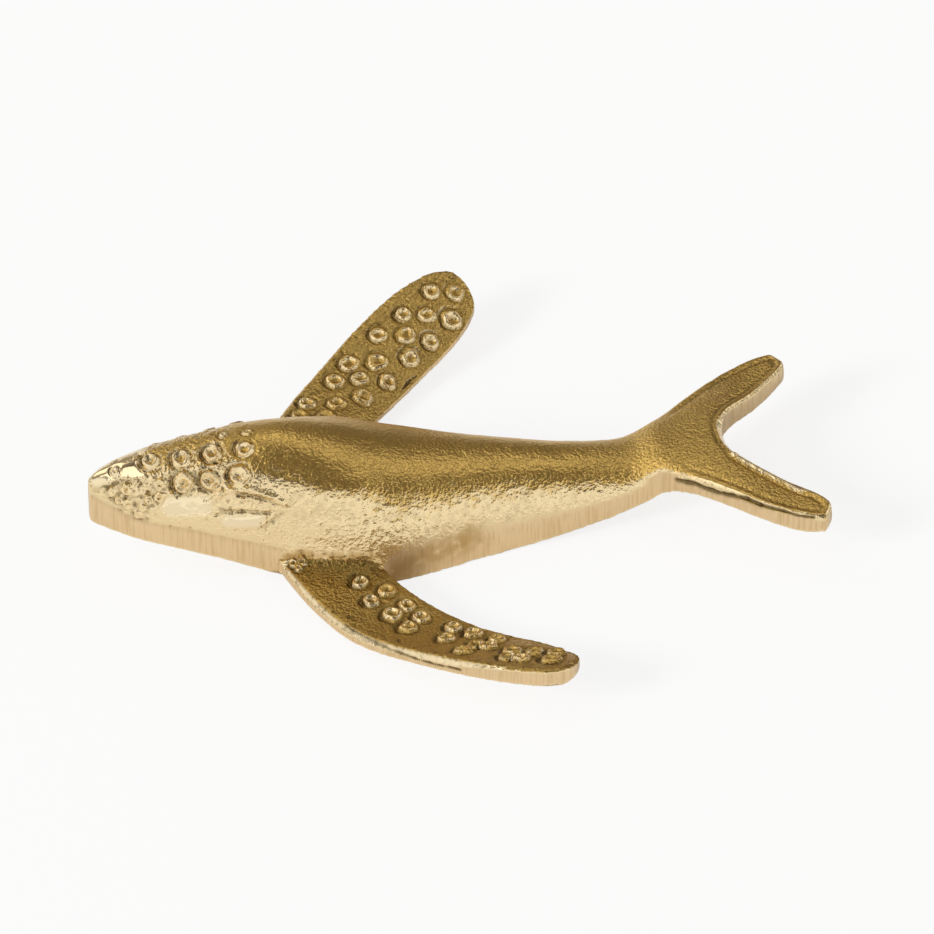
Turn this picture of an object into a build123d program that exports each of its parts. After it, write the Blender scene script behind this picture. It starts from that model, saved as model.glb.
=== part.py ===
"""A small cast brass whale that lies on its flat belly.

Frame: +Z up, +X from snout to tail, origin on the table under the middle of the whale's box.
The whale's left side is -Y. Body, flippers and fluke are separate castings, held together by
dowels and braze, so nothing on it moves.
"""

import os
from math import radians, tan

from build123d import *

os.makedirs("parts", exist_ok=True)

# Body
overall_length = 100.0
body_width = 24.6
crown_height = 19.1
jaw_height = 3.8

# Flippers
flipper_span = 91.0
flipper_station = 24.6  # from the snout to the front of the root
flipper_sweep = 35.6  # from the front of the root back to the rear of the tip
flipper_root_height = 4.0  # top of the blade above the table, at the front of the root
flipper_thickness = 2.2
flipper_incidence = 1.5  # degrees, leading edge up
flipper_bend_start = 23.5  # distance from the middle plane at which the blade turns up
flipper_bend_radius = 28.0
flipper_bend_angle = 20.0
flipper_under_bend_angle = 17.0  # less than on top, so the blade thickens towards the tip

# Fluke
fluke_span = 38.2
fluke_height = 8.75  # edge of the fluke above the table
fluke_wall = 2.9
fluke_crown = 1.9  # how far the middle of the fluke stands above its edge
notch_depth = 12.0  # from the tips of the lobes to the bottom of the notch
fluke_length = 28.0  # from the tips of the lobes to the joint of fluke and body

# Dowels
flipper_dowel_diameter = 1.2
flipper_dowel_length = 7.0
flipper_dowel_setback = 4.0  # from the front of the root to the front dowel
flipper_dowel_spacing = 5.6
tail_dowel_diameter = 1.6
tail_dowel_length = 9.0
tail_dowel_spacing = 4.8
tail_dowel_height = 5.7
dowel_gap = 0.05  # braze gap round a dowel
dowel_end_gap = 0.2
dowel_chamfer = 0.2

overrun = 5.0  # how far every cutter runs past what it cuts
quarter_turn = 90

# Stations of the body: distance from the snout, half width, underside, top and side wall,
# as shares of the length, the half width, the crown height twice and the jaw height
body_station_shares = [
    (0.000, 0.060, 0.366, 0.712, 1.00),
    (0.009, 0.140, 0.363, 0.756, 1.00),
    (0.026, 0.245, 0.351, 0.804, 1.00),
    (0.060, 0.388, 0.318, 0.862, 1.00),
    (0.100, 0.505, 0.283, 0.903, 1.00),
    (0.150, 0.615, 0.224, 0.945, 1.00),
    (0.200, 0.695, 0.140, 0.981, 0.98),
    (0.250, 0.770, 0.052, 1.000, 0.94),
    (0.300, 0.885, 0.002, 0.968, 0.86),
    (0.360, 0.985, -0.005, 0.885, 0.74),
    (0.420, 0.985, -0.005, 0.787, 0.66),
    (0.480, 0.865, -0.005, 0.712, 0.62),
    (0.540, 0.735, -0.003, 0.649, 0.60),
    (0.600, 0.630, 0.010, 0.592, 0.58),
    (0.660, 0.550, 0.052, 0.534, 0.58),
    (0.720, 0.485, 0.115, 0.492, 0.64),
    (0.755, 0.450, 0.173, 0.486, 0.84),
]

# Stations of the fluke: distance from the snout, half width, side wall and crown,
# as shares of the length, the half span, the fluke wall and the fluke crown
fluke_station_shares = [
    (0.785, 0.281, 1.38, 0.83),
    (0.810, 0.373, 0.90, 0.90),
    (0.840, 0.499, 0.72, 0.98),
    (0.885, 0.697, 0.76, 0.95),
    (0.930, 0.867, 0.92, 0.42),
    (0.965, 0.959, 1.00, 0.28),
    (1.010, 0.998, 1.02, 0.20),
]

# Rear outline of one lobe from the notch round the tip, as shares of the notch's depth and the half span
lobe_outline_shares = [
    (0.165, 0.286),
    (0.430, 0.446),
    (0.700, 0.615),
    (0.935, 0.770),
    (1.000, 0.852),
    (0.930, 0.939),
    (0.650, 1.046),
]

# Outline of one flipper, as shares of its sweep and of its reach from the root line to the tip
flipper_outline_shares = [
    (0.000, 0.000),
    (0.035, 0.110),
    (0.102, 0.285),
    (0.222, 0.487),
    (0.362, 0.637),
    (0.498, 0.766),
    (0.637, 0.878),
    (0.806, 0.976),
    (0.912, 0.997),
    (0.980, 0.950),
    (1.000, 0.880),
    (0.970, 0.815),
    (0.893, 0.722),
    (0.762, 0.605),
    (0.622, 0.472),
    (0.518, 0.360),
    (0.442, 0.250),
    (0.385, 0.125),
    (0.354, 0.000),
]
flipper_root_share = 0.68  # root line inside the body, as a share of the half width
dowel_seat_share = 0.92  # middle of a flipper dowel, as a share of the half width

half_length = overall_length / 2
half_width = body_width / 2
half_span = flipper_span / 2
half_fluke = fluke_span / 2
flipper_front = flipper_station - half_length
root_line = half_width * flipper_root_share
flipper_reach = half_span - root_line
notch = (half_length - notch_depth, 0)
tail_joint = half_length - fluke_length


def cross_section(station, half, underside, top, wall):
    """Section of the animal: flat underside, upright side walls and an elliptical back."""
    shoulder = underside + wall
    rise = top - shoulder
    plane = Plane(origin=(station - half_length, 0, 0), x_dir=(0, 1, 0), z_dir=(1, 0, 0))
    with BuildSketch(plane) as section:
        with BuildLine():
            Line((-half, underside), (half, underside))
            Line((half, underside), (half, shoulder))
            EllipticalCenterArc((0, shoulder), half, rise, start_angle=0, arc_size=quarter_turn)
            EllipticalCenterArc((0, shoulder), half, rise, start_angle=quarter_turn, arc_size=quarter_turn)
            Line((-half, shoulder), (-half, underside))
        make_face()
    return section.sketch


body_sections = [
    cross_section(
        along * overall_length,
        width * half_width,
        underside * crown_height,
        top * crown_height,
        wall * jaw_height,
    )
    for along, width, underside, top, wall in body_station_shares
]
fluke_sections = [
    cross_section(
        along * overall_length,
        width * half_fluke,
        fluke_height - wall * fluke_wall,
        fluke_height + crown * fluke_crown,
        wall * fluke_wall,
    )
    for along, width, wall, crown in fluke_station_shares
]

# Whole animal without flippers, its belly rubbed flat, from which body and fluke are parted
with BuildPart() as animal:
    loft(sections=body_sections + fluke_sections)
    with BuildSketch(Plane.XY):
        Rectangle(overall_length + overrun, body_width + overrun)
    extrude(amount=-crown_height, mode=Mode.SUBTRACT)

tail_joint_plane = Plane.YZ.offset(tail_joint)


def flipper_dowel_plane(setback, side):
    """Middle of a flipper dowel in the middle of the blade's thickness, its axis along Y."""
    height = flipper_root_height - flipper_thickness / 2 - setback * tan(radians(flipper_incidence))
    seat = side * half_width * dowel_seat_share
    return Plane(origin=(flipper_front + setback, seat, height), x_dir=(1, 0, 0), z_dir=(0, 1, 0))


def tail_dowel_plane(side):
    """Middle of a tail dowel in the tail joint, its axis along X."""
    place = (tail_joint, side * tail_dowel_spacing / 2, tail_dowel_height)
    return Plane(origin=place, x_dir=(0, 1, 0), z_dir=(1, 0, 0))


dowel_setbacks = {"front": flipper_dowel_setback, "rear": flipper_dowel_setback + flipper_dowel_spacing}
sides = {"left": -1, "right": 1}
flipper_dowel_planes = {
    f"{side}_flipper_{place}_dowel": flipper_dowel_plane(setback, sign)
    for side, sign in sides.items()
    for place, setback in dowel_setbacks.items()
}
tail_dowel_planes = {f"tail_{side}_dowel": tail_dowel_plane(sign) for side, sign in sides.items()}
flipper_hole_radius = flipper_dowel_diameter / 2 + dowel_gap
flipper_hole_length = flipper_dowel_length + 2 * dowel_end_gap
tail_hole_radius = tail_dowel_diameter / 2 + dowel_gap
tail_hole_length = tail_dowel_length + 2 * dowel_end_gap

# Body: head, trunk and tail stock
with BuildPart() as body:
    add(animal.part)
    split(bisect_by=tail_joint_plane, keep=Keep.BOTTOM)
    with Locations(*flipper_dowel_planes.values()):
        Cylinder(flipper_hole_radius, flipper_hole_length, mode=Mode.SUBTRACT)
    with Locations(*tail_dowel_planes.values()):
        Cylinder(tail_hole_radius, tail_hole_length, mode=Mode.SUBTRACT)
body.part.label = "body"
export_step(body.part, "parts/body.step")

# Fluke: both lobes with the end of the tail stock
lobe_points = [(notch[0] + back * notch_depth, out * half_fluke) for back, out in lobe_outline_shares]
fluke_front = tail_joint - overrun
with BuildSketch(Plane.XY) as fluke_plan:
    with BuildLine():
        Spline(notch, *lobe_points, tangents=((0, 1), (-1, 0)))
        Polyline(lobe_points[-1], (fluke_front, lobe_points[-1][1]), (fluke_front, 0), notch)
    make_face()
    mirror(about=Plane.XZ)
with BuildPart() as tail_fluke:
    add(animal.part)
    split(bisect_by=tail_joint_plane, keep=Keep.TOP)
    extrude(fluke_plan.sketch, amount=crown_height, mode=Mode.INTERSECT)
    with Locations(*tail_dowel_planes.values()):
        Cylinder(tail_hole_radius, tail_hole_length, mode=Mode.SUBTRACT)
tail_fluke.part.label = "tail_fluke"
export_step(tail_fluke.part, "parts/tail_fluke.step")

# Outline of the right flipper from above, and its side view: flat at the root, then turned up
flipper_points = [
    (flipper_front + back * flipper_sweep, root_line + out * flipper_reach)
    for back, out in flipper_outline_shares
]
with BuildSketch(Plane.XY) as flipper_plan:
    with BuildLine():
        Spline(*flipper_points)
        Line(flipper_points[-1], flipper_points[0])
    make_face()
blade_plane = Plane(
    origin=(flipper_front, 0, flipper_root_height), x_dir=(0, 1, 0), z_dir=(1, 0, 0)
).rotated((0, flipper_incidence, 0))
with BuildSketch(blade_plane) as blade_profile:
    with BuildLine():
        under = Line((0, -flipper_thickness), (flipper_bend_start, -flipper_thickness))
        under_bend = JernArc(under @ 1, under % 1, flipper_bend_radius, flipper_under_bend_angle)
        under_end = PolarLine(under_bend @ 1, half_span, direction=under_bend % 1)
        upper = Line((0, 0), (flipper_bend_start, 0))
        upper_bend = JernArc(upper @ 1, upper % 1, flipper_bend_radius, flipper_bend_angle)
        upper_end = PolarLine(upper_bend @ 1, half_span, direction=upper_bend % 1)
        Line(under_end @ 1, upper_end @ 1)
        Line(under @ 0, upper @ 0)
    make_face()

# Flippers, each cut to sit against the body's side
with BuildPart() as right_flipper:
    extrude(flipper_plan.sketch, amount=crown_height)
    extrude(blade_profile.sketch, amount=flipper_sweep + overrun, both=True, mode=Mode.INTERSECT)
    add(animal.part, mode=Mode.SUBTRACT)
    with Locations(*flipper_dowel_planes.values()):
        Cylinder(flipper_hole_radius, flipper_hole_length, mode=Mode.SUBTRACT)
right_flipper.part.label = "right_flipper"
export_step(right_flipper.part, "parts/right_flipper.step")

with BuildPart() as left_flipper:
    mirror(right_flipper.part, about=Plane.XZ)
left_flipper.part.label = "left_flipper"
export_step(left_flipper.part, "parts/left_flipper.step")

# Dowels
for node, plane in flipper_dowel_planes.items():
    with BuildPart(plane) as flipper_dowel:
        Cylinder(flipper_dowel_diameter / 2, flipper_dowel_length)
        chamfer(flipper_dowel.edges(), dowel_chamfer)
    flipper_dowel.part.label = node
    export_step(flipper_dowel.part, f"parts/{node}.step")
for node, plane in tail_dowel_planes.items():
    with BuildPart(plane) as tail_dowel:
        Cylinder(tail_dowel_diameter / 2, tail_dowel_length)
        chamfer(tail_dowel.edges(), dowel_chamfer)
    tail_dowel.part.label = node
    export_step(tail_dowel.part, f"parts/{node}.step")
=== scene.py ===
import math

import bmesh
import bpy
import numpy as np
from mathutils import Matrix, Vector, kdtree, noise
from mathutils.bvhtree import BVHTree


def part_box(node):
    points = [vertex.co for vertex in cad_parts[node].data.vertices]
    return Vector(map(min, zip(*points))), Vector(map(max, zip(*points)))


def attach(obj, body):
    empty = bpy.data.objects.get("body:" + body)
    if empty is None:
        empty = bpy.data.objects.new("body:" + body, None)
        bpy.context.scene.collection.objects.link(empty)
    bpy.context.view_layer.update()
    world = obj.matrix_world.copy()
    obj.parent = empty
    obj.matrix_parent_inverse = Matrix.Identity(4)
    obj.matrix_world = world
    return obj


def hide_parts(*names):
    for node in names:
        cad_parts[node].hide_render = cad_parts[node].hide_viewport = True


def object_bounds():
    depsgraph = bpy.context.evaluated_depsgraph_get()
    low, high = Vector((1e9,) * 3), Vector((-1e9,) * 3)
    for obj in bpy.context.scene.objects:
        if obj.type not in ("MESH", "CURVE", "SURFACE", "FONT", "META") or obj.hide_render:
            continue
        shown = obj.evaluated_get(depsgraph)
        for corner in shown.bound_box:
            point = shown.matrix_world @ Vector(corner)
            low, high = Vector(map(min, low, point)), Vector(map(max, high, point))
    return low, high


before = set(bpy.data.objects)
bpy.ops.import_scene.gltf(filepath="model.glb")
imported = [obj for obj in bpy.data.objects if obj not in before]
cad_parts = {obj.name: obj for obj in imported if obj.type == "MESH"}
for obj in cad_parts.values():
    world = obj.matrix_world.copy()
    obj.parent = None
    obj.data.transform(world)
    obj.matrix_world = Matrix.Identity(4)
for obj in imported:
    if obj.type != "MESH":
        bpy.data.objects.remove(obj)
cadBox = [list(corner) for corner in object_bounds()]
scene = bpy.context.scene
toMetres = 0.001  # the castings are worked in millimetres
castingNames = ["body", "left_flipper", "right_flipper", "tail_fluke"]
boxes = {name: np.array(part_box(name)) / toMetres for name in castingNames}
bodySide = boxes["body"][1][1]
rootFront = boxes["left_flipper"][0][0]
tailJoint = boxes["tail_fluke"][0][0]
tailTip = boxes["tail_fluke"][1][0]
plan = np.array([1, 1, 0])

# The camera, as the photograph was taken
view = {
    "frame": 934,  # pixels along a side of the photograph
    "elevation": 38.0,
    "azimuth": -9.6,
    "distance": 1000.0,
    "target": (0.0, 0.0, 5.0),
    "targetPixel": (450, 492),
    "pixelsPerMillimetre": 7.26,
    "sensor": 36.0,
}
azimuth = math.radians(view["azimuth"])
elevation = math.radians(view["elevation"])
viewBack = Vector((math.sin(azimuth) * math.cos(elevation), -math.cos(azimuth) * math.cos(elevation),
                   math.sin(elevation)))
viewRight = Vector((math.cos(azimuth), math.sin(azimuth), 0))
viewUp = viewBack.cross(viewRight)
eyePoint = Vector(view["target"]) + viewBack * view["distance"]
focalPixels = view["pixelsPerMillimetre"] * view["distance"]


def addCamera():
    camera = bpy.data.objects.new("photoCamera", bpy.data.cameras.new("photoCamera"))
    camera.data.sensor_width = view["sensor"]
    camera.data.lens = focalPixels / view["frame"] * view["sensor"]
    half = view["frame"] / 2
    camera.data.shift_x = (half - view["targetPixel"][0]) / view["frame"]
    camera.data.shift_y = (view["targetPixel"][1] - half) / view["frame"]
    camera.data.clip_start = 0.01
    camera.location = eyePoint * toMetres
    camera.rotation_euler = viewBack.to_track_quat("Z", "Y").to_euler()
    scene.collection.objects.link(camera)
    scene.camera = camera


def smoothStep(low, high, value):
    t = np.clip((value - low) / (high - low), 0, 1)
    return t * t * (3 - 2 * t)


def bell(value, width):
    return np.exp(-(value / width) ** 2)


def grainNoise(points, size, seed):
    offset = Vector((seed * 17.3, seed * 5.1, seed * 9.7))
    return np.array([noise.noise(Vector(p) / size + offset) for p in points])


# The four castings as one skin, so that the metal runs on across the brazed joints
skinMake = {
    "voxel": 0.26,
    "coarseSmoothing": 5,
    "fineSmoothing": 4,
    "headBack": -21.0,  # the head in front of this, and the flippers and fluke, get a finer mesh
    "jawTop": 4.3,
    "flipperMargin": 2.5,  # the finer mesh starts this far inside the body's side
    "flukeMargin": 4.0,  # and this far behind the tail joint
    "rootFillet": (2.6, 4.6),  # reach of the fillet under and over a flipper's root
    "filletRounds": 260,
    "tipRounding": (3.2, 1.2),  # before a fluke's tip, where the rounding starts and where it is full
    "tipRounds": 34,
    "trailingDrop": 1.3,  # how much thinner a flipper is at its trailing edge
    "trailingWidth": 4.5,
    "bladeThickness": 2.2,
}


class Skin:
    def __init__(self, mesh):
        count = len(mesh.vertices)
        flat = np.empty(count * 3)
        mesh.vertices.foreach_get("co", flat)
        self.points = flat.reshape(-1, 3) / toMetres
        pairs = np.empty(len(mesh.edges) * 2, dtype=np.int64)
        mesh.edges.foreach_get("vertices", pairs)
        self.edges = pairs.reshape(-1, 2)
        corners = np.empty(len(mesh.loops), dtype=np.int64)
        mesh.loops.foreach_get("vertex_index", corners)
        self.faces = corners.reshape(-1, 3)  # the mesh is all triangles
        self.degree = np.bincount(self.edges.ravel(), minlength=count)
        self.measureNormals()

    def measureNormals(self):
        p = self.points[self.faces]
        faceNormals = np.cross(p[:, 1] - p[:, 0], p[:, 2] - p[:, 0])
        summed = np.zeros_like(self.points)
        for corner in range(3):
            for axis in range(3):
                summed[:, axis] += np.bincount(self.faces[:, corner], faceNormals[:, axis], len(summed))
        self.normals = summed / np.linalg.norm(summed, axis=1, keepdims=True)

    def smooth(self, rounds, weight=1.0, level=False, fillOnly=False):
        a, b = self.edges.T
        pull = np.broadcast_to(np.asarray(weight, dtype=float), len(self.points)) * 0.5
        for turn in range(rounds):
            move = np.zeros_like(self.points)
            for axis in range(2 if level else 3):  # level smoothing keeps every height
                value = self.points[:, axis]
                around = np.bincount(a, value[b], len(value)) + np.bincount(b, value[a], len(value))
                move[:, axis] = around / self.degree - value
            if fillOnly:
                move *= (np.einsum("ij,ij->i", move, self.normals) > 0)[:, None]
            self.points += move * pull[:, None]
            if turn % 8 == 7:
                self.measureNormals()
        self.measureNormals()

    def raiseBy(self, lift):
        self.points += self.normals * lift[:, None]
        self.measureNormals()

    def tree(self):
        return BVHTree.FromPolygons([Vector(p) for p in self.points], self.faces.tolist())

    def inside(self, low, high):
        return np.flatnonzero(np.all((self.points > low) & (self.points < high), axis=1))


def searchTree(samples):
    tree = kdtree.KDTree(len(samples))
    for i, sample in enumerate(samples):
        tree.insert(Vector(sample), i)
    tree.balance()
    return tree


def nearest(points, name, reach=6.0):
    # distance from every point to one casting, and the nearest place on it
    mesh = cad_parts[name].data
    corners = [v.co / toMetres for v in mesh.vertices]
    tree = BVHTree.FromPolygons(corners, [list(p.vertices) for p in mesh.polygons])
    found = np.full(len(points), reach)
    places = points.copy()
    low, high = boxes[name]
    for i in np.flatnonzero(np.all((points > low - reach) & (points < high + reach), axis=1)):
        place, _, _, distance = tree.find_nearest(Vector(points[i]), reach)
        if place is not None:
            found[i] = distance
            places[i] = place
    return found, places


def voxelMesh():
    joined = bmesh.new()
    for name in castingNames:
        joined.from_mesh(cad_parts[name].data)
    mesh = bpy.data.meshes.new("castSkin")
    joined.to_mesh(mesh)
    joined.free()
    solid = bpy.data.objects.new("castSkin", mesh)
    scene.collection.objects.link(solid)
    voxels = solid.modifiers.new("voxels", "REMESH")
    voxels.mode = "VOXEL"
    voxels.voxel_size = skinMake["voxel"] * toMetres
    depsgraph = bpy.context.evaluated_depsgraph_get()
    dense = bpy.data.meshes.new_from_object(solid.evaluated_get(depsgraph))
    bpy.data.objects.remove(solid)
    work = bmesh.new()
    work.from_mesh(dense)
    bmesh.ops.triangulate(work, faces=work.faces[:])
    work.to_mesh(dense)
    work.free()
    return dense


def refine(mesh):
    # splits the triangles that carry fine relief
    work = bmesh.new()
    work.from_mesh(mesh)
    fine = set()
    for face in work.faces:
        x, y, z = face.calc_center_median() / toMetres
        onHead = x < skinMake["headBack"] and z > skinMake["jawTop"]
        onFlipper = abs(y) > bodySide - skinMake["flipperMargin"] and rootFront - 1 < x < tailJoint
        if onHead or onFlipper or x > tailJoint + skinMake["flukeMargin"]:
            fine.update(face.edges)
    bmesh.ops.subdivide_edges(work, edges=list(fine), cuts=1, use_grid_fill=True)
    bmesh.ops.triangulate(work, faces=work.faces[:])
    work.to_mesh(mesh)
    work.free()


def filletRoots(coarse, gaps):
    gap = np.maximum(np.minimum(gaps["left_flipper"], gaps["right_flipper"]), gaps["body"])
    under, over = skinMake["rootFillet"]
    reach = under + (over - under) * smoothStep(1.8, 3.2, coarse.points[:, 2])
    coarse.smooth(skinMake["filletRounds"], 1 - smoothStep(0.3, 1.0, gap / reach), fillOnly=True)


def roundTips(coarse):
    start, full = skinMake["tipRounding"]
    tips = smoothStep(tailTip - start, tailTip - full, coarse.points[:, 0])
    coarse.smooth(skinMake["tipRounds"], tips, level=True)
    coarse.points[:, 0] += tips * (tailTip - coarse.points[:, 0].max())


def thinTrailing(coarse, closest):
    # thins each flipper towards its trailing edge, the left one from below and the right one from above
    for name in ("left_flipper", "right_flipper"):
        mine = np.flatnonzero(closest == castingNames.index(name))
        points = coarse.points[mine]
        normals = coarse.normals[mine]
        outward = -1 if name == "left_flipper" else 1
        trailing = (np.abs(normals[:, 2]) < 0.4) & (normals[:, 0] > 0.3) & (normals[:, 1] * outward < 0.1)
        trailing &= np.abs(points[:, 1]) > bodySide + 0.5
        edge = searchTree(points[trailing] * plan)
        underside = points[normals[:, 2] < -0.6]
        below = searchTree(underside * plan)
        for i, point in zip(mine, points):
            flat = Vector(point * plan)
            fade = 1 - smoothStep(0, skinMake["trailingWidth"], edge.find(flat)[2])
            rise = point[2] - underside[below.find(flat)[1], 2]
            height = np.clip(rise / skinMake["bladeThickness"], 0, 1)
            share = 1 - height if outward < 0 else -height
            coarse.points[i, 2] += skinMake["trailingDrop"] * fade * share
    coarse.measureNormals()


def makeSkin():
    mesh = voxelMesh()
    coarse = Skin(mesh)
    gaps, places = {}, {}
    for name in castingNames:
        gaps[name], places[name] = nearest(coarse.points, name)
    closest = np.argmin(np.stack([gaps[name] for name in castingNames]), axis=0)
    coarse.points = np.stack([places[name] for name in castingNames])[closest, np.arange(len(closest))]
    thinTrailing(coarse, closest)
    coarse.smooth(skinMake["coarseSmoothing"])
    filletRoots(coarse, gaps)
    roundTips(coarse)
    mesh.vertices.foreach_set("co", (coarse.points * toMetres).ravel())
    for name in castingNames:
        mesh.attributes.new(name, "FLOAT", "POINT").data.foreach_set("value", gaps[name])
    refine(mesh)
    made = Skin(mesh)
    for name in castingNames:
        gaps[name] = np.empty(len(made.points))
        mesh.attributes[name].data.foreach_get("value", gaps[name])
    bpy.data.meshes.remove(mesh)
    made.smooth(skinMake["fineSmoothing"])
    print("skin:", len(made.points), "points,", len(made.faces), "faces")
    return made, gaps


addCamera()
skin, distances = makeSkin()
owner = np.argmin(np.stack([distances[name] for name in castingNames]), axis=0)
isBody, isLeft, isRight, isFluke = [owner == index for index in range(len(castingNames))]
isFlipper = isLeft | isRight

# Edges of the blades, measured in plan from the nearest upright wall
bladeEdge = {
    "wallSwell": 0.26,  # gives back what the smoothing took off the walls
    "rootSwell": 0.55,  # and more at the leading root of the right flipper
    "bevel": 0.7,
    "rightBevel": 0.25,
    "bevelWidth": 0.42,
    "bevelEnd": (38, 43),  # distance from the middle over which the bevel dies away
    "notchBevel": 0.75,  # in the bottom of the notch
    "notchWidth": 0.85,
    "roofPlace": 1.10,  # the rim along the near lobe slopes from here down to the trailing edge
    "roof": 0.46,
    "rim": 0.22,
    "rimPlace": 0.50,
    "rimWidth": 0.30,
    "rimGroove": 0.18,
    "rimGroovePlace": 1.35,
    "rimGrooveWidth": 0.28,
    "smoothing": 5,
}


def edgeDistance(part, walls):
    # distance in plan to the nearest of these walls, and the way that wall faces
    tree = searchTree(skin.points[walls] * plan)
    facing = skin.normals[walls]
    found = np.full(len(skin.points), 9.0)
    faces = np.zeros_like(skin.points)
    for i in np.flatnonzero(part):
        _, index, found[i] = tree.find(Vector(skin.points[i] * plan))
        faces[i] = facing[index]
    return found, faces


def swellWalls():
    span = np.abs(skin.points[:, 1]) - bodySide
    ahead = skin.normals[:, 0] < 0
    behind = smoothStep(0, 0.3, skin.normals[:, 0]) * smoothStep(tailJoint, tailJoint + 6, skin.points[:, 0])
    swell = bladeEdge["wallSwell"] * (isFlipper + isFluke * behind)
    swell += bladeEdge["rootSwell"] * (isRight & ahead) * (1 - smoothStep(2, 16, span))
    skin.raiseBy(swell * (1 - smoothStep(0.3, 0.7, np.abs(skin.normals[:, 2]))))


def slant(mine, edge, width, depth):
    # lowers the upper edge of a wall, and gives the share of the slant at every point
    fade = np.clip(1 - edge / width, 0, 1) * mine
    top = skin.points[mine & (skin.normals[:, 2] > 0.8) & (edge > 1.3 * width)]
    under = skin.points[mine & (skin.normals[:, 2] < -0.8)]
    above = searchTree(top * plan)
    below = searchTree(under * plan)
    band = np.zeros(len(skin.points))
    for i in np.flatnonzero(fade * depth):
        flat = Vector(skin.points[i] * plan)
        high = top[above.find(flat)[1], 2]
        low = under[below.find(flat)[1], 2]
        height = np.clip((skin.points[i, 2] - low) / (high - low), 0, 1)
        skin.points[i, 2] -= depth[i] * fade[i] * height
        band[i] = smoothStep(0.8, 0.95, height) * smoothStep(0, 0.2, fade[i])
    skin.measureNormals()
    return band


swellWalls()
upright = np.abs(skin.normals[:, 2]) < 0.4
topSide = smoothStep(0.35, 0.75, skin.normals[:, 2])
flipperEdge, _ = edgeDistance(isFlipper, isFlipper & upright & (skin.normals[:, 0] < 0.3))
flukeEdge, flukeFacing = edgeDistance(isFluke, isFluke & upright)
inNotch = smoothStep(0.3, 0.5, flukeFacing[:, 0]) * smoothStep(-0.5, -0.2, flukeFacing[:, 1])
inNotch *= 1 - smoothStep(tailTip - 5, tailTip - 2, skin.points[:, 0])
inNotch *= 1 - smoothStep(3, 5, skin.points[:, 1])  # the photograph shows none on the far lobe
rimFade = smoothStep(tailJoint + 8, tailJoint + 12, skin.points[:, 0]) * topSide * isFluke
bottom = smoothStep(0.7, 0.95, flukeFacing[:, 0]) * inNotch  # the bottom of the notch faces straight back
rim = bladeEdge["rim"] * bell(flukeEdge - bladeEdge["rimPlace"], bladeEdge["rimWidth"]) * (1 - inNotch)
groovePlace = bladeEdge["rimGroovePlace"] + 0.35 * (inNotch - bottom)
rim -= bladeEdge["rimGroove"] * bell(flukeEdge - groovePlace, bladeEdge["rimGrooveWidth"])
outer = np.clip(flukeEdge / bladeEdge["roofPlace"], 0, 1)
roof = bladeEdge["roof"] * outer * (1 - smoothStep(1, 1.4, flukeEdge / bladeEdge["roofPlace"]))
rim += roof * (inNotch - bottom)
rim *= rimFade
skin.raiseBy(rim)
leading = 1 - smoothStep(*bladeEdge["bevelEnd"], np.abs(skin.points[:, 1]))
leading *= smoothStep(0.8, 2.5, distances["body"])
bevelled = slant(isLeft, flipperEdge, bladeEdge["bevelWidth"], bladeEdge["bevel"] * leading)
slant(isRight, flipperEdge, bladeEdge["bevelWidth"], bladeEdge["rightBevel"] * leading)
notched = slant(isFluke, flukeEdge, bladeEdge["notchWidth"], bladeEdge["notchBevel"] * bottom) * bottom
notched += (inNotch - bottom) * rimFade * (1 - smoothStep(0.8, 1.1, flukeEdge / bladeEdge["roofPlace"]))
nearEdge = 1 - smoothStep(1.4, 2.2, np.minimum(flipperEdge, flukeEdge))
nearFloor = 1 - smoothStep(0.6, 1.2, skin.points[:, 2])
skin.smooth(bladeEdge["smoothing"], np.maximum(nearEdge, nearFloor))
print("edges worked")

# Relief is placed by pixels read off the photograph, where their rays meet the skin
skinTree = skin.tree()
mirrored = Vector((1, -1, 1))
wobble = grainNoise(skin.points, 1.1, 5)


def spot(pixel):
    across = (pixel[0] - view["targetPixel"][0]) / focalPixels
    above = (view["targetPixel"][1] - pixel[1]) / focalPixels
    ray = (viewRight * across + viewUp * above - viewBack).normalized()
    point, normal, _, _ = skinTree.ray_cast(eyePoint, ray)
    if point is None:
        raise ValueError(f"pixel {pixel} is off the whale")
    return point, normal


def spots(pixels):
    return [spot(pixel) for pixel in pixels]


def otherSide(places):
    return [(point * mirrored, normal * mirrored) for point, normal in places]


def path(pixels, bothSides=True):
    # a line in the photograph, filled in so that its points lie close together on the skin
    filled = []
    for (u0, v0), (u1, v1) in zip(pixels, pixels[1:]):
        steps = max(1, round(math.hypot(u1 - u0, v1 - v0) / 2))
        filled += [(u0 + (u1 - u0) * i / steps, v0 + (v1 - v0) * i / steps) for i in range(steps)]
    found = [spot(pixel)[0] for pixel in filled + [pixels[-1]]]
    if bothSides:
        found += [point * mirrored for point in found]
    return np.array([list(point) for point in found])


def away(samples, reach=4.0):
    # distance from every point of the skin to the nearest of these samples
    tree = searchTree(samples)
    found = np.full(len(skin.points), reach)
    for i in skin.inside(samples.min(axis=0) - reach, samples.max(axis=0) + reach):
        found[i] = min(reach, tree.find(Vector(skin.points[i]))[2])
    return found


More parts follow.
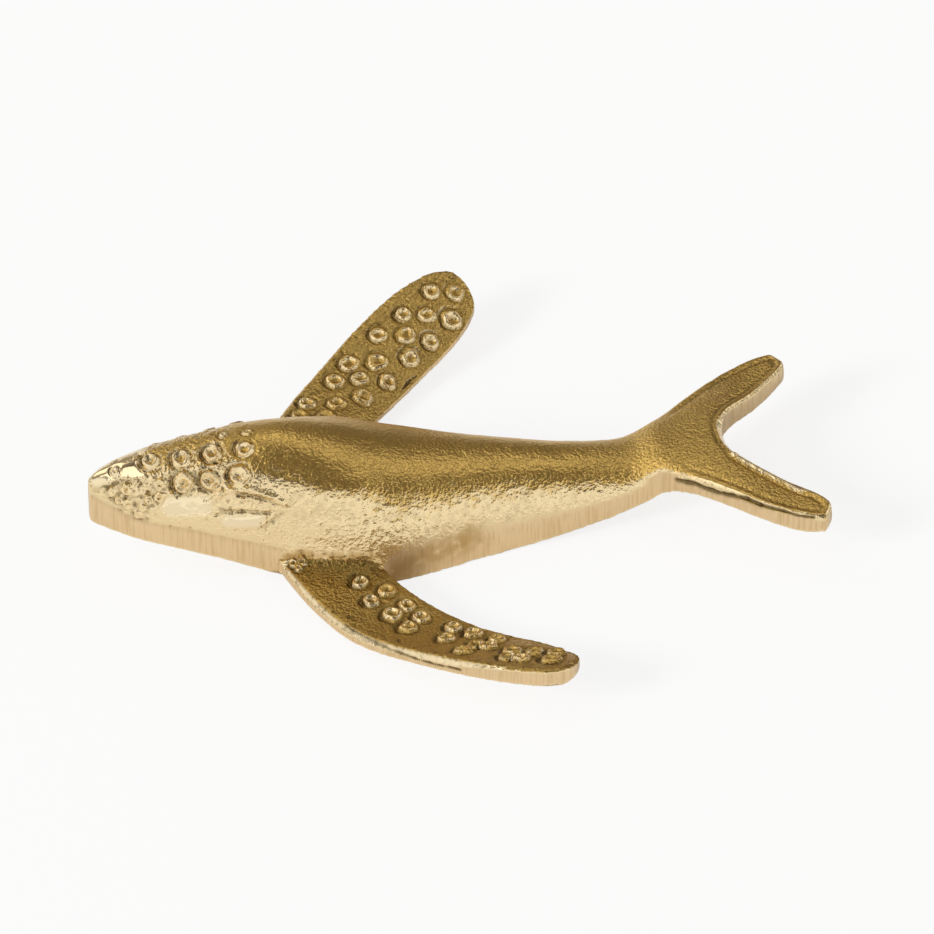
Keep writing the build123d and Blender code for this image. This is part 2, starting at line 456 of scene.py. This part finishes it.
def ringLift(places, shape, share=1.0):
    lift = np.zeros(len(skin.points))
    vary = np.random.default_rng(11)
    for point, normal in places:
        size = vary.uniform(0.9, 1.1)
        strength = share * vary.uniform(0.8, 1.15)
        axis = np.array(normal)
        offset = skin.points - np.array(point)
        height = offset @ axis
        across = np.linalg.norm(offset - height[:, None] * axis, axis=1)
        close = np.flatnonzero((across < 3) & (np.abs(height) < 1.4) & (skin.normals @ axis > 0.2))
        radius = across[close] / size + shape["wobble"] * wobble[close]
        raised = shape["height"] * bell(radius - shape["radius"], shape["ridge"])
        raised -= shape["dimple"] * bell(radius, shape["dimpleWidth"])
        headwards = np.clip(-offset[close, 0] / np.maximum(across[close], 0.1), 0, 1)
        moat = shape["moat"] * (1 + shape["moatLean"] * headwards)  # deeper on the side towards the head
        raised -= moat * bell(radius - shape["moatRadius"], shape["ridge"])
        before = lift[close]
        lift[close] = np.where(np.abs(raised) * strength > np.abs(before), raised * strength, before)
    return lift


headRing = {"radius": 0.95, "height": 0.48, "ridge": 0.33, "dimple": 0.14, "dimpleWidth": 0.42,
            "moat": 0.15, "moatLean": 1.7, "moatRadius": 1.55, "wobble": 0.25}
flipperRing = dict(headRing, radius=0.92, height=0.33, ridge=0.34, dimple=0.18, dimpleWidth=0.42, moat=0.12)
smallRing = dict(headRing, radius=0.42, height=0.24, ridge=0.24, dimple=0.08, dimpleWidth=0.22, moat=0.05,
                 moatRadius=0.9)
ringShare = {"farUpper": 0.12, "farLower": 0.8, "farBumps": 0.25, "nearFlipper": 1.25}  # of full height
headRings = [(150, 461), (181, 458), (212, 453), (244, 448), (183, 483), (209, 480), (239, 475)]
headBumps = [(115, 471), (160, 484), (223, 435), (248, 432), (126, 490), (149, 500), (138, 515), (119, 500),
             (128, 505), (160, 497), (112, 492), (143, 508)]
rootBeads = [(293, 563), (299, 568), (302, 561)]
leftFlipperRings = [(360, 582), (387, 590), (371, 601), (407, 605), (392, 614), (421, 617), (408, 627),
                    (453, 627), (446, 638), (473, 633), (477, 645), (463, 650), (497, 639), (489, 646),
                    (512, 650), (508, 657), (521, 658), (535, 651), (556, 652), (551, 659)]
rightFlipperRings = [(431, 291), (455, 292), (403, 314), (427, 314), (452, 319), (378, 334), (406, 334),
                     (431, 341), (410, 357), (349, 363), (377, 361), (335, 381), (360, 378), (388, 381),
                     (363, 396), (337, 403), (307, 403), (300, 415), (326, 416)]
farRings = [(165, 492), (192, 490), (222, 486), (250, 482)]  # only on the far side, lower down
ringsHere = spots(headRings)
bumpsHere = spots(headBumps + rootBeads)
rings = ringLift(ringsHere, headRing) + ringLift(otherSide(ringsHere[:4]), headRing, ringShare["farUpper"])
rings += ringLift(otherSide(spots(farRings)), headRing, ringShare["farLower"])
rings += ringLift(bumpsHere, smallRing) + ringLift(otherSide(bumpsHere), smallRing, ringShare["farBumps"])
rings += ringLift(spots(leftFlipperRings), flipperRing, ringShare["nearFlipper"])
rings += ringLift(spots(rightFlipperRings), flipperRing)
print("rings raised")

# Creases: line in the photograph, depth (below zero is raised) and half width
headCreases = {
    "lidFold": ([(209, 503), (221, 493), (233, 489), (250, 489), (267, 495), (284, 504)], -0.38, 0.48),
    "lidGroove": ([(238, 494), (255, 496), (270, 500), (283, 506)], 0.30, 0.32),
    "eyeSlit": ([(217, 515), (228, 512), (241, 511), (256, 512), (270, 513)], 0.24, 0.24),
    "eyeBall": ([(228, 521), (244, 521), (258, 520)], -0.24, 0.95),
    "eyeCorner": ([(262, 528), (273, 521), (282, 514)], 0.12, 0.36),
    "snoutCrease": ([(94, 490), (104, 487), (118, 482), (132, 480), (144, 483), (153, 489)], 0.10, 0.45),
    "mouth": ([(92, 497), (111, 507), (124, 515), (137, 521), (160, 526), (187, 530), (218, 537), (264, 546),
               (280, 550)], 0.05, 0.34),
}
# A broad ridge along the shoulder, with its height; the nick in a fluke's tip; a smudge with painted shadow
# behind a flipper
shoulder = ([(250, 483), (268, 487), (285, 491), (305, 493), (330, 494), (355, 494)], 0.42, 2.6)
edgeGrooves = {
    "flipperGroove": ([(346, 625), (352, 630), (364, 637), (376, 643), (392, 650), (413, 658), (433, 664),
                       (447, 667), (460, 670)], 0.20, 0.15),
    "flipperCrack": ([(403, 388), (409, 381), (416, 376)], 0.36, 0.13),
    "flukeUndercut": ([(677, 480), (695, 484), (707, 489), (719, 493), (733, 496), (747, 499), (760, 505)],
                      0.35, 0.28),
    "flukeGroove": ([(760, 505), (784, 511), (799, 516), (814, 517)], 0.22, 0.20),
}
flukeNick = ([(771, 358), (773, 359)], 0.25, 0.35)
rootSmudgeAndShadow = ([(398, 572), (410, 564), (425, 556), (445, 549), (467, 539)], 2.4)
pitMake = {"depth": 0.14, "width": 0.2, "mouthDepth": 0.2, "mouthWidth": 0.34, "mouthRagged": 0.15}
headPits = [(207, 520), (214, 506), (224, 528), (236, 530), (248, 530), (262, 523), (266, 528), (170, 527),
            (190, 528), (178, 497), (205, 500)]
mouthPits = [(107, 490), (119, 503), (134, 504), (154, 497), (140, 520), (147, 520), (120, 511), (128, 482),
             (140, 484), (126, 497), (112, 500), (146, 512), (133, 514), (148, 493)]


def pits(pixels, depth, width, ragged=0.0):
    cut = np.zeros(len(skin.points))
    for point, _ in spots(pixels) + otherSide(spots(pixels)):
        apart = np.linalg.norm(skin.points - np.array(point), axis=1)
        cut += depth * bell(apart + ragged * wobble, width)
    return cut


creases = np.zeros(len(skin.points))
for pixels, depth, width in headCreases.values():
    creases -= depth * bell(away(path(pixels)) + 0.2 * wobble, width)
pixels, height, width = shoulder
swelling = height * bell(away(path(pixels), 3 * width), width)
grooves = np.zeros(len(skin.points))
for name, (pixels, depth, width) in edgeGrooves.items():
    line = path(pixels, bothSides=name.startswith("fluke"))
    grooves += depth * bell(away(line) + 0.15 * wobble, width)
pixels, depth, width = flukeNick
nick = depth * bell(away(path(pixels, bothSides=False)), width)
pixels, width = rootSmudgeAndShadow
smudgeAndShadow = bell(away(path(pixels), 2 * width) + wobble, width) * isBody
creases -= grooves + pits(headPits, pitMake["depth"], pitMake["width"])
creases -= pits(mouthPits, pitMake["mouthDepth"], pitMake["mouthWidth"], pitMake["mouthRagged"])
print("creases cut")

# Unevenness of the sand mould; the patches of the head that stay smooth and carry a painted highlight, or
# are rougher, with half widths
mould = {"swell": 0.05, "swellSize": 2.6, "pebble": 0.04, "pebbleSize": 0.85, "stipple": 0.075,
         "stippleSize": 0.58, "stroke": 0.05, "strokeSize": 0.55,
         "headEnd": (-27, -21), "headTop": 6, "flankEnd": (14, 24)}
smoothHighlightPatches = [([(98, 476), (119, 467), (139, 467)], 1.6), ([(172, 507), (190, 506), (203, 506)], 1.5),
                 ([(228, 521), (244, 521), (258, 520)], 0.9)]
roughPatches = [([(115, 494), (130, 500), (150, 508)], 2.2)]
along = skin.points[:, 0]
facingUp = skin.normals[:, 2]
headTop = mould["headTop"] * smoothStep(0.5, 0.75, facingUp)  # the head's marks end sooner on top
onHead = 1 - smoothStep(*mould["headEnd"], along + wobble + headTop)
onFlank = isBody * (1 - onHead) * (1 - smoothStep(*mould["flankEnd"], along))
stippled = onHead * smoothStep(0.05, 0.3, facingUp)
polishedAndHighlight = np.zeros(len(skin.points))
for pixels, width in smoothHighlightPatches:
    polishedAndHighlight = np.maximum(polishedAndHighlight, 1 - smoothStep(0.6, 1.2, away(path(pixels)) / width))
for pixels, width in roughPatches:
    stippled *= 2 - smoothStep(0.6, 1.2, away(path(pixels)) / width)
stippled *= 1 - polishedAndHighlight
stippled += 0.8 * isFlipper * topSide * (1 - smoothStep(2.0, 4.5, flipperEdge))
offWall = (0.15 + 0.85 * smoothStep(0.1, 0.4, np.abs(facingUp))) * (1 - bevelled) * (1 - notched)
stipple = grainNoise(skin.points, mould["stippleSize"], 4) * stippled
slope = smoothStep(0.1, 0.4, np.abs(facingUp))
steep = slope * smoothStep(0.75, 0.55, facingUp)
strokes = grainNoise(skin.points * [1, 0.35, 0.35], mould["strokeSize"], 6) * onFlank * steep
pebbles = grainNoise(skin.points, mould["pebbleSize"], 2) * (1 - isBody * (0.55 - 1.15 * steep))
edgeFade = 0.3 + 0.7 * smoothStep(0.2, 1.2, np.minimum(flipperEdge, flukeEdge))
uneven = mould["swell"] * grainNoise(skin.points, mould["swellSize"], 1) + mould["stipple"] * stipple
uneven += mould["pebble"] * pebbles + mould["stroke"] * strokes
jaw = path(headCreases["mouth"][0], bothSides=False)
jawTop = np.interp(along, jaw[:, 0], jaw[:, 2])
jawTop += 9 * smoothStep(-12, -8, along)  # no limit behind the flipper
filed = (1 - smoothStep(0.12, 0.3, np.abs(facingUp))) * (1 - bevelled)
filed *= 1 - smoothStep(0, 0.5, skin.points[:, 2] - jawTop)
skin.raiseBy(rings + creases + swelling - nick + uneven * offWall * edgeFade)
low, high = np.array(cadBox) / toMetres
skin.points = np.clip(skin.points, low, high)  # the castings stay inside the box of the solids
print("mould marks added")

# Wear, grime and painted shade: full height or depth of what is worn or darkened, and the strength of the
# painted shade and the stains
wearAndShade = {"ridge": 0.36, "rim": 0.2, "shadeAndGrime": 0.4, "groove": 0.15, "rootShade": 0.6, "leftShade": 0.16,
        "smudgeAndShadow": 0.7, "bodyRootShade": 0.85}
flipperGap = np.minimum(distances["left_flipper"], distances["right_flipper"])
# painted shade on the flipper tops near the body, and a little over the whole near flipper's top
rootShade = wearAndShade["rootShade"] * isFlipper * (1 - smoothStep(0, 10, distances["body"]))
rootShade = (rootShade + wearAndShade["leftShade"] * isLeft) * topSide * (1 - bevelled)
# painted shade on the body's slopes beside the flipper roots
nearRoot = isBody * slope * (1 - smoothStep(0.6, 3, flipperGap + 0.5 * wobble))
# the smudge is partly stain and partly painted shadow
stainAndShade = wearAndShade["smudgeAndShadow"] * smudgeAndShadow + wearAndShade["bodyRootShade"] * nearRoot
ridge = np.clip(rings / wearAndShade["ridge"] + np.clip(rim / wearAndShade["rim"], 0, 1), 0, 1)
# painted shade together with grime: darker in ring dips, creases, edge grooves, low spots of the stipple and
# at the flipper roots
shadeAndGrime = -(rings + creases) / wearAndShade["shadeAndGrime"] + np.clip(-rim / wearAndShade["shadeAndGrime"], 0, 1)
shadeAndGrime += grooves / wearAndShade["groove"]
shadeAndGrime += rootShade + np.clip(-1.6 * stipple - 0.3, 0, 0.6)
shadeAndGrime += np.clip(-strokes - 0.15, 0, 0.15) + np.clip(-onFlank * steep * pebbles - 0.2, 0, 0.12)
masks = {
    "worn": np.clip(ridge + bevelled + notched, 0, 1),
    # where the painted shade of upward faces is lifted: the head, ring ridges, bevels and smooth patches
    "shadeLifted": np.clip(0.45 * onHead + 0.5 * ridge + bevelled + notched + 0.5 * polishedAndHighlight, 0, 1),
    # smooth patches and bevels: polished, and given a painted highlight
    "polishedAndHighlight": np.clip(polishedAndHighlight + 0.5 * (bevelled + notched), 0, 1),
    "sandy": 1 - 0.5 * onFlank,
    "shadeAndGrime": np.clip(shadeAndGrime, 0, 1),
    "stainAndShade": np.clip(stainAndShade, 0, 1),
    "filed": filed,
}


def capped(mesh):
    # closes the cut ends inside the joints
    work = bmesh.new()
    work.from_mesh(mesh)
    openEdges = [edge for edge in work.edges if edge.is_boundary]
    caps = bmesh.ops.holes_fill(work, edges=openEdges, sides=0)["faces"]
    bmesh.ops.triangulate(work, faces=caps)
    work.to_mesh(mesh)
    work.free()


def makePieces():
    apart = np.stack([distances[name][skin.faces].mean(axis=1) for name in castingNames])
    faceOwner = np.argmin(apart, axis=0)
    made = {}
    for index, name in enumerate(castingNames):
        used, faces = np.unique(skin.faces[faceOwner == index], return_inverse=True)
        mesh = bpy.data.meshes.new(name + "Casting")
        mesh.from_pydata((skin.points[used] * toMetres).tolist(), [], faces.reshape(-1, 3).tolist())
        capped(mesh)
        for mask, values in masks.items():
            mesh.attributes.new(mask, "FLOAT", "POINT").data.foreach_set("value", values[used])
        mesh.normals_split_custom_set_from_vertices(skin.normals[used].tolist())
        piece = bpy.data.objects.new(name + "Casting", mesh)
        scene.collection.objects.link(piece)
        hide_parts(name)
        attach(piece, "root")
        made[name] = piece
        print(piece.name, len(mesh.polygons), "faces")
    return made


pieces = makePieces()


class Wire:
    def __init__(self, tree, socket=None):
        self.tree = tree
        self.socket = socket

    def node(self, kind, settings=None, sockets=None, output=0):
        made = self.tree.nodes.new(kind)
        for key, value in (settings or {}).items():
            setattr(made, key, value)
        for key, value in (sockets or {}).items():
            if isinstance(value, Wire):
                self.tree.links.new(value.socket, made.inputs[key])
            else:
                made.inputs[key].default_value = value
        return Wire(self.tree, made.outputs[output] if made.outputs else None)

    def maths(self, operation, first, second=0.0):
        return self.node("ShaderNodeMath", {"operation": operation}, {0: first, 1: second})

    def __add__(self, other):
        return self.maths("ADD", self, other)

    def __radd__(self, other):
        return self.maths("ADD", other, self)

    def __sub__(self, other):
        return self.maths("SUBTRACT", self, other)

    def __rsub__(self, other):
        return self.maths("SUBTRACT", other, self)

    def __mul__(self, other):
        return self.maths("MULTIPLY", self, other)

    def __rmul__(self, other):
        return self.maths("MULTIPLY", other, self)

    def larger(self, other):
        return self.maths("MAXIMUM", self, other)

    def step(self, low, high):
        return self.node("ShaderNodeMapRange", {"interpolation_type": "SMOOTHSTEP"},
                         {"Value": self, "From Min": low, "From Max": high})

    def tint(self, first, second):
        sockets = {"Factor": self, 6: first, 7: second}
        return self.node("ShaderNodeMix", {"data_type": "RGBA"}, sockets, output=2)

    def part(self, index):
        return self.node("ShaderNodeSeparateXYZ", {}, {0: self}, output=index)

    def stretch(self, factors):
        return self.node("ShaderNodeVectorMath", {"operation": "MULTIPLY"}, {0: self, 1: factors})

    def speckle(self, scale, detail=2.0):
        return self.node("ShaderNodeTexNoise", {}, {"Vector": self, "Scale": scale, "Detail": detail})

    def bump(self, distance, under=None):
        sockets = {"Height": self, "Distance": distance * toMetres}
        if under is not None:
            sockets["Normal"] = under
        return self.node("ShaderNodeBump", {}, sockets)


def newTree(owner):
    owner.use_nodes = True
    owner.node_tree.nodes.clear()
    return Wire(owner.node_tree)


castBrass = {
    "bright": (0.92, 0.73, 0.42, 1),
    # a pale tint for painted highlights
    "paintedHighlight": (0.96, 0.82, 0.56, 1),
    # darker brass for upward faces: a painted shade
    "topShade": (0.80, 0.525, 0.15, 1),
    "filed": (0.86, 0.64, 0.37, 1),
    "scored": (0.74, 0.52, 0.27, 1),
    # dark colour for grime and for painted shade
    "grimeAndShade": (0.12, 0.075, 0.02, 1),
    # brown for stains and for painted shade beside the flipper roots
    "stainAndShade": (0.46, 0.265, 0.075, 1),
    "roughness": 0.22,
    "topShadeRoughness": 0.28,
    "polishedRoughness": 0.12,
    "topShadeFrom": (0.52, 0.76),  # how far up a surface faces where the painted shade of upward faces starts, and where it is full
    "filedShare": 0.9,
    "grimeAndShadeShare": 0.85,
    "blotch": 0.5,  # blotches in a millimetre
    "grain": 2.4,  # grains in a millimetre
    "grainDepth": 0.22,
    "striation": 3.0,  # file marks in a millimetre
    "striationDepth": 0.08,
}


def brassMaterial():
    material = bpy.data.materials.new("castBrass")
    start = newTree(material)
    place = start.node("ShaderNodeTexCoord", output=3).stretch((1 / toMetres,) * 3)
    up = start.node("ShaderNodeNewGeometry", output=1).part(2)
    mask = {name: start.node("ShaderNodeAttribute", {"attribute_name": name}, output=2) for name in masks}
    grain = place.speckle(castBrass["grain"], 1.0)
    blotch = place.speckle(castBrass["blotch"], 3.0)
    marks = place.stretch((1, 1, 0.06)).speckle(castBrass["striation"])
    # painted shade: surfaces facing upwards get the darker, more saturated brass, broken by blotches and
    # grain; rougher there too
    topShade = up + (blotch - 0.5) * 0.3 - (grain - 0.5) * 0.3 - mask["shadeLifted"] * 0.5
    topShade = topShade.step(*castBrass["topShadeFrom"])
    colour = topShade.tint(castBrass["bright"], castBrass["topShade"])
    # painted highlight: smooth patches and bevels tinted pale, less where they face straight up
    colour = (mask["polishedAndHighlight"] * (0.7 - up.step(0.6, 0.9) * 0.5)).tint(colour, castBrass["paintedHighlight"])
    wall = marks.step(0.3, 0.6).tint(castBrass["scored"], castBrass["filed"])
    colour = (mask["filed"] * castBrass["filedShare"]).tint(colour, wall)
    # stain and painted shade behind and beside the flipper roots
    colour = (mask["stainAndShade"] * blotch.step(0.2, 0.5)).tint(colour, castBrass["stainAndShade"])
    # painted shade and grime in the recesses and at the flipper roots
    colour = (mask["shadeAndGrime"] * castBrass["grimeAndShadeShare"]).tint(colour, castBrass["grimeAndShade"])
    roughness = topShade * (castBrass["topShadeRoughness"] - castBrass["roughness"]) + castBrass["roughness"]
    roughness = roughness + mask["polishedAndHighlight"] * (castBrass["polishedRoughness"] - roughness)
    rough = mask["sandy"] * (1 - mask["filed"] * 0.85) * (1 - mask["worn"] * 0.75)
    rough = rough * (1 - mask["polishedAndHighlight"] * 0.9)
    sand = (rough * grain).bump(castBrass["grainDepth"])
    normal = (mask["filed"] * marks).bump(castBrass["striationDepth"], sand)
    shader = start.node("ShaderNodeBsdfPrincipled", {}, {
        "Base Color": colour, "Metallic": 1.0, "Roughness": roughness, "Normal": normal})
    start.node("ShaderNodeOutputMaterial", {}, {"Surface": shader})
    return material


dowelBrass = {"drawn": (0.88, 0.68, 0.36, 1), "dull": (0.70, 0.48, 0.20, 1), "roughness": 0.28, "lines": 6.0,
              "lineDepth": 0.02}


def dowelMaterial():
    material = bpy.data.materials.new("dowelBrass")
    start = newTree(material)
    place = start.node("ShaderNodeTexCoord", output=3).stretch((1 / toMetres,) * 3)
    lines = place.stretch((0.1, 1, 1)).speckle(dowelBrass["lines"])
    shader = start.node("ShaderNodeBsdfPrincipled", {}, {
        "Base Color": lines.step(0.3, 0.7).tint(dowelBrass["drawn"], dowelBrass["dull"]), "Metallic": 1.0,
        "Roughness": dowelBrass["roughness"], "Normal": lines.bump(dowelBrass["lineDepth"])})
    start.node("ShaderNodeOutputMaterial", {}, {"Surface": shader})
    return material


cast = brassMaterial()
drawn = dowelMaterial()
for piece in pieces.values():
    piece.data.materials.append(cast)
for name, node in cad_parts.items():
    if name not in castingNames:
        node.data.materials.clear()
        node.data.materials.append(drawn)
print("brass laid on")

studio = {
    "floorSize": 6.0,
    "floorTint": (0.92, 0.92, 0.92, 1),
    "floorGlow": 0.82,  # share of plain white in what the camera sees of the floor
    "back": (0.15, 0.13, 0.108, 1),
    "backHead": (0.33, 0.305, 0.27, 1),
    "overhead": (0.12, 0.105, 0.088, 1),
    "front": (0.98, 0.98, 0.98, 1),
    "card": 0.9,  # beside the head
    "sweep": 0.85,  # paper that rises behind the head
    "frontEdge": (-0.25, 0.2),  # this and the next eight: where each part of the sky fades
    "frontTop": (0.58, 0.66),
    "headEdge": (0.1, 0.42),
    "overheadEdge": (0.75, 0.95),
    "cardEdge": (-0.75, -0.5),
    "cardTop": (0.2, 0.32),
    "sweepEdge": (0, 0.3),
    "sweepEnd": (-0.18, 0.05),
    "sweepTop": (0.1, 0.26),
    "lampDistance": 1.2,
}


def addFloor():
    bpy.ops.mesh.primitive_plane_add(size=studio["floorSize"])
    floor = bpy.context.object
    floor.name = "floor"
    paper = bpy.data.materials.new("paper")
    start = newTree(paper)
    matt = start.node("ShaderNodeBsdfDiffuse", {}, {"Color": studio["floorTint"]})
    glow = start.node("ShaderNodeEmission", {}, {"Color": (1, 1, 1, 1), "Strength": 1.0})
    camera = start.node("ShaderNodeLightPath", output="Is Camera Ray")
    mixed = start.node("ShaderNodeMixShader", {}, {0: camera * studio["floorGlow"], 1: matt, 2: glow})
    start.node("ShaderNodeOutputMaterial", {}, {"Surface": mixed})
    floor.data.materials.append(paper)


def addSky():
    world = bpy.data.worlds.new("studio")
    start = newTree(world)
    direction = start.node("ShaderNodeTexCoord", output=0)
    toTail, toBack, height = [direction.part(axis) for axis in range(3)]
    front = 1 - toBack.step(*studio["frontEdge"])
    window = front * (1 - height.step(*studio["frontTop"]))
    card = (1 - toTail.step(*studio["cardEdge"])) * (1 - height.step(*studio["cardTop"])) * studio["card"]
    sweep = toBack.step(*studio["sweepEdge"]) * (1 - height.step(*studio["sweepTop"])) * studio["sweep"]
    sweep = sweep * (1 - toTail.step(*studio["sweepEnd"]))
    toHead = 1 - toTail.step(*studio["headEdge"])
    above = front.larger(height.step(*studio["overheadEdge"]))
    colour = above.tint(toHead.tint(studio["back"], studio["backHead"]), studio["overhead"])
    colour = window.larger(card.larger(sweep)).tint(colour, studio["front"])
    sky = start.node("ShaderNodeBackground", {}, {"Color": colour, "Strength": 1.0})
    start.node("ShaderNodeOutputWorld", {}, {"Surface": sky})
    scene.world = world


# Soft boxes, placed by the bearing from the front (below zero on the head's side) and the height, in degrees
lamps = {
    "headLamp": {"bearing": -68, "height": 59, "size": 0.74, "power": 2.2},
    "snoutLamp": {"bearing": -134, "height": 37, "size": 0.60, "power": 1.25},
    "tailLamp": {"bearing": 104, "height": 61, "size": 0.46, "power": 0.58},
    "sideLamp": {"bearing": 114, "height": 26, "size": 0.50, "power": 0.75},
    "backLamp": {"bearing": 165, "height": 66, "size": 0.40, "power": 0.62},
    "floorLamp": {"bearing": -65, "height": 27, "size": 0.5, "power": 26, "distance": 2, "mirrored": False},
}


def addLamps():
    for name, make in lamps.items():
        lamp = bpy.data.objects.new(name, bpy.data.lights.new(name, "AREA"))
        lamp.data.energy = make["power"]
        lamp.data.size = make["size"]
        lamp.visible_glossy = make.get("mirrored", True)  # one that isn't mirrored lights only the floor
        bearing = math.radians(make["bearing"])
        height = math.radians(make["height"])
        toLamp = Vector((math.sin(bearing) * math.cos(height), -math.cos(bearing) * math.cos(height),
                         math.sin(height)))
        lamp.location = toLamp * make.get("distance", studio["lampDistance"])
        lamp.rotation_euler = toLamp.to_track_quat("Z", "Y").to_euler()
        scene.collection.objects.link(lamp)


addFloor()
addSky()
addLamps()
print("studio lit")

scene.view_settings.view_transform = "Standard"
